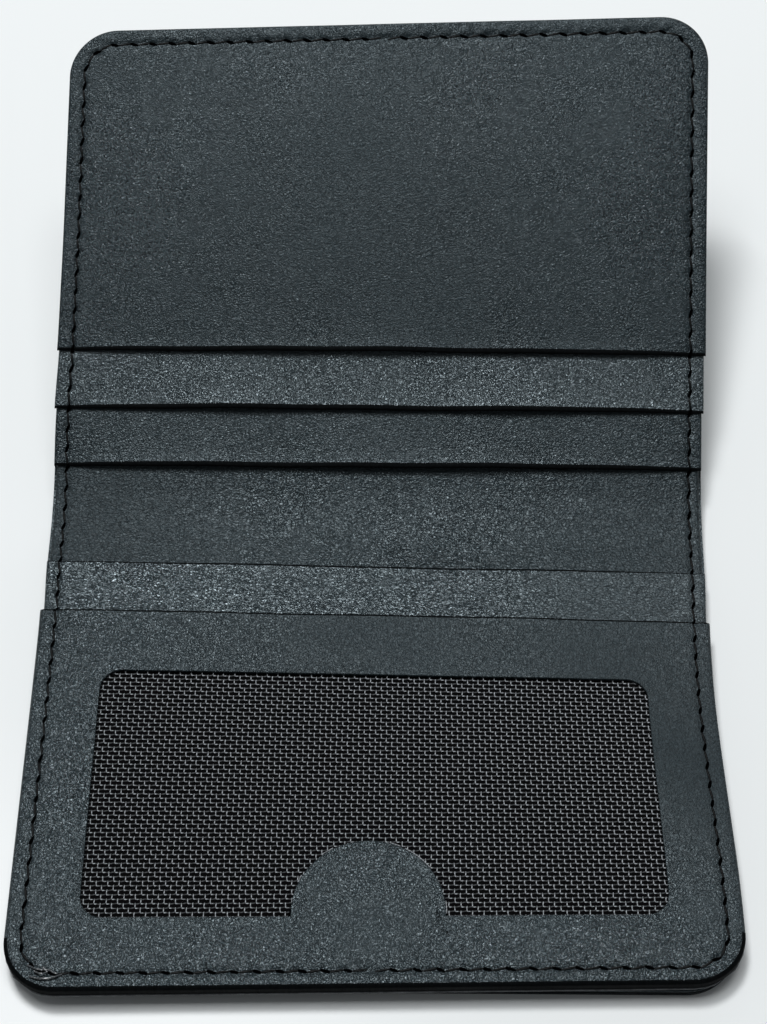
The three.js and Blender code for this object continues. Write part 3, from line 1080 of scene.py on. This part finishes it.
def mesh_threads():
    """Light threads in a running-bond pattern: long rows with short links, each row half a brick on. The links are
    coloured much lighter, as painted highlights on the weave.
    """
    bundle = Bundle()
    rows = int((MESH_FAR - MESH_NEAR) / ROW_PITCH)
    level = MESH_TOP - 0.015
    for r in range(rows + 1):
        s = MESH_NEAR + r * ROW_PITCH
        xs = np.arange(-MESH_X, MESH_X, BRICK / 5)
        phase = 2 * math.pi * xs / BRICK + (r % 2) * math.pi
        t = -(s + 0.05 * np.cos(phase) + 0.02 * np.sin(xs * 1.3 + r * 2.1))
        n = level + 0.035 * np.cos(phase * 2)
        vertices, faces = tube(place(xs, t, n), MESH_THREAD_R * MM, sides=3)
        bundle.add(vertices, faces)
        if r == rows:
            continue
        count = int(2 * MESH_X / BRICK)
        for k in range(count):
            x = -MESH_X + (k + 0.5 * (r % 2) + 0.25) * BRICK + 0.04 * math.sin(k * 2.7 + r * 1.9)
            lean = 0.05 * math.sin(k * 1.3 + r * 0.7)
            foot = s + ROW_PITCH
            line = [(x, s - 0.05), (x + lean, foot - 0.06)]
            line += [(x + lean + a, foot + b) for a, b in LINK_HOOK]
            line = [place(a, -b, level + 0.03) for a, b in line]
            thick = np.array([1, 1, 0.95, 0.8, 0.5]) * MESH_THREAD_R * MM
            vertices, faces = tube(line, thick, sides=3)
            bundle.add(vertices, faces, 1)
    for start, stop in FRAYED:
        turn = np.radians(np.linspace(start, stop, 7))
        x = TAB_X + (TAB_R + 0.1) * np.cos(turn)
        s = WINDOW_FAR - TAB_RISE - (TAB_R + 0.1) * np.sin(turn)
        vertices, faces = tube(place(x, -s, WINDOW.top - 0.12), 0.06 * MM, sides=4)
        bundle.add(vertices, faces, 1)
    return bundle.build("id_window_mesh_threads", [MESH_THREAD, MESH_LINK_HIGHLIGHT])


def cloth_outline(half, near, far, radius, neck=None):
    """Rows and half widths of a sheet with round far corners; neck narrows it above the window frame."""
    s = spaced(near, far, 2.2, (0.2, 0.6))
    d = np.clip(s - (far - radius), 0, radius)
    halves = half - radius + np.sqrt(radius**2 - d**2)
    if neck:
        halves = np.where(s < MOUTH_WINDOW + 1.5, np.minimum(neck, halves), halves)
    return s, halves


def flat_cloth(node, material, outline, low, top, sign=-1, slanted=True):
    """A thin woven sheet of the outline given, in place of its CAD node."""
    s, halves = outline
    columns = spaced(-1, 1, 0.045)
    rows = np.repeat(sign * s[:, None], len(columns), 1)

    def upper(x, t):
        return top + 0 * x

    def under(x, t):
        return low + 0 * x

    obj = slab(node, rows, columns, halves, upper, under, material, slanted=slanted)
    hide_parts(node)
    return obj


threads = rides_on(mesh_threads(), "window_leaf")
MESH_CUT = (MESH_X + 1.5, MESH_NEAR - 1.5, MESH_FAR + 1.5)  # half width, nearest and furthest
mesh_outline = cloth_outline(*MESH_CUT, 1.0)
mesh_cloth = flat_cloth("id_window_mesh", MESH_CLOTH, mesh_outline, MESH_LOW - 0.02, MESH_LOW + 0.01)
rides_on(mesh_cloth, "window_leaf")


# ---------------------------------------------------------------- linings and boards


def lining(node, body, material, half=None, slanted=True):
    """A lining cut a little inside its CAD node, or, where half is given, out past the leather's edge."""
    low, high = flat_extent(node)
    sign = 1 if body == "front_leaf" else -1
    near, far = (low[1], high[1]) if sign > 0 else (-high[1], -low[1])
    neck = high[0] - 0.6
    half, far = (half, LEAF + 0.12) if half else (neck, far - 0.6)
    outline = cloth_outline(half, near, far, CORNER_R, neck)
    obj = flat_cloth(node, material, outline, low[2], high[2], sign, slanted)
    rides_on(obj, body)


lining("id_pocket_lining", "window_leaf", LINING_EDGE, half=HALF_OUTER + 0.08)
lining("back_note_pocket_lining", "back_leaf", LINING, slanted=False)
lining("front_note_pocket_lining", "front_leaf", LINING)
for node in ("back_cover_stiffener", "front_cover_stiffener"):
    data = frame["nodes"][node].data
    data.materials.clear()
    data.materials.append(BOARD)

# ---------------------------------------------------------------- table, light and camera

TABLE_GAP = 0.0001  # the table top lies this far under the wallet


def table():
    n = Nodes("table_top")
    at = n.add("ShaderNodeTexCoord").outputs["Object"]
    cloud = n.add("ShaderNodeTexNoise", {"Vector": at, "Scale": 3.0, "Detail": 2.0}).outputs["Fac"]
    n.set(n.shader, "Base Color", n.ramp(cloud, [(0.3, (0.79, 0.81, 0.81)), (0.7, (0.83, 0.85, 0.85))]))
    n.rough(cloud, 0.04, 0.2)
    n.set(n.shader, "Specular IOR Level", 0.08)
    vertices = []
    for half, z in ((1.585, 0), (1.6, -0.004), (1.6, -0.02)):
        z = z - TABLE_GAP
        vertices += [(-half, -half, z), (half, -half, z), (half, half, z), (-half, half, z)]
    faces = [[0, 1, 2, 3], [11, 10, 9, 8]]
    for ring in (0, 4):
        for i in range(4):
            j = (i + 1) % 4
            faces.append([ring + i, ring + 4 + i, ring + 4 + j, ring + j])
    new_object("table", vertices, faces, None, n.material, sharp=10)


table()


def area_light(name, place_at, width, height, power, colour):
    """A soft rectangular light turned towards the fold."""
    data = bpy.data.lights.new(name, "AREA")
    data.shape = "RECTANGLE"
    data.size, data.size_y = width, height
    data.energy = power
    data.color = colour
    obj = bpy.data.objects.new(name, data)
    bpy.context.scene.collection.objects.link(obj)
    towards = Vector(CENTRE) - Vector(place_at)
    obj.rotation_euler = towards.to_track_quat("-Z", "Y").to_euler()
    obj.location = place_at


CENTRE = (0, FOLD_Y * MM, 0)
area_light("key_behind", (-0.14, 0.34, 0.88), 0.24, 0.18, 5.3, (0.98, 0.99, 1.0))
area_light("overhead", (-0.02, 0.14, 1.0), 0.6, 0.3, 3.7, (0.97, 0.99, 1.0))
area_light("low_behind", (0.3, 1.1, 0.3), 0.8, 0.3, 1.5, (0.97, 0.99, 1.0))

world = bpy.data.worlds.new("studio")
bpy.context.scene.world = world
world.use_nodes = True
world.node_tree.nodes["Background"].inputs["Color"].default_value = (0.93, 0.97, 1.0, 1)
world.node_tree.nodes["Background"].inputs["Strength"].default_value = 0.14
bpy.context.scene.view_settings.view_transform = "Standard"

# Camera: where it stands from the fold line, in millimetres, and how it is turned
CAMERA_FROM_FOLD = (3.3, -188.4, 285.0)
CAMERA_DOWN = math.radians(56.16)
CAMERA_YAW = math.radians(-0.44)
CAMERA_ROLL = math.radians(0.61)
CAMERA_LENS = 77.2
SENSOR = 36.0


def turned(a, b, angle):
    """The two directions, turned from the first towards the second."""
    c, s = math.cos(angle), math.sin(angle)
    return c * a + s * b, c * b - s * a


def camera():
    down, yaw, roll = CAMERA_DOWN, CAMERA_YAW, CAMERA_ROLL
    forward = np.array([0, math.cos(down), -math.sin(down)])
    up = np.array([0, math.sin(down), math.cos(down)])
    right = np.array([1.0, 0, 0])
    forward, right = turned(forward, right, yaw)
    right, up = turned(right, up, roll)
    data = bpy.data.cameras.new("camera")
    data.lens = CAMERA_LENS
    data.sensor_width = SENSOR
    data.clip_start = 0.01
    obj = bpy.data.objects.new("camera", data)
    bpy.context.scene.collection.objects.link(obj)
    x, y, z = CAMERA_FROM_FOLD
    matrix = Matrix.Identity(4)
    for row in range(3):
        matrix[row][0], matrix[row][1], matrix[row][2] = right[row], up[row], -forward[row]
    matrix.translation = (x * MM, (FOLD_Y + y) * MM, z * MM)
    obj.matrix_world = matrix
    bpy.context.scene.camera = obj


camera()

bpy.context.view_layer.update()
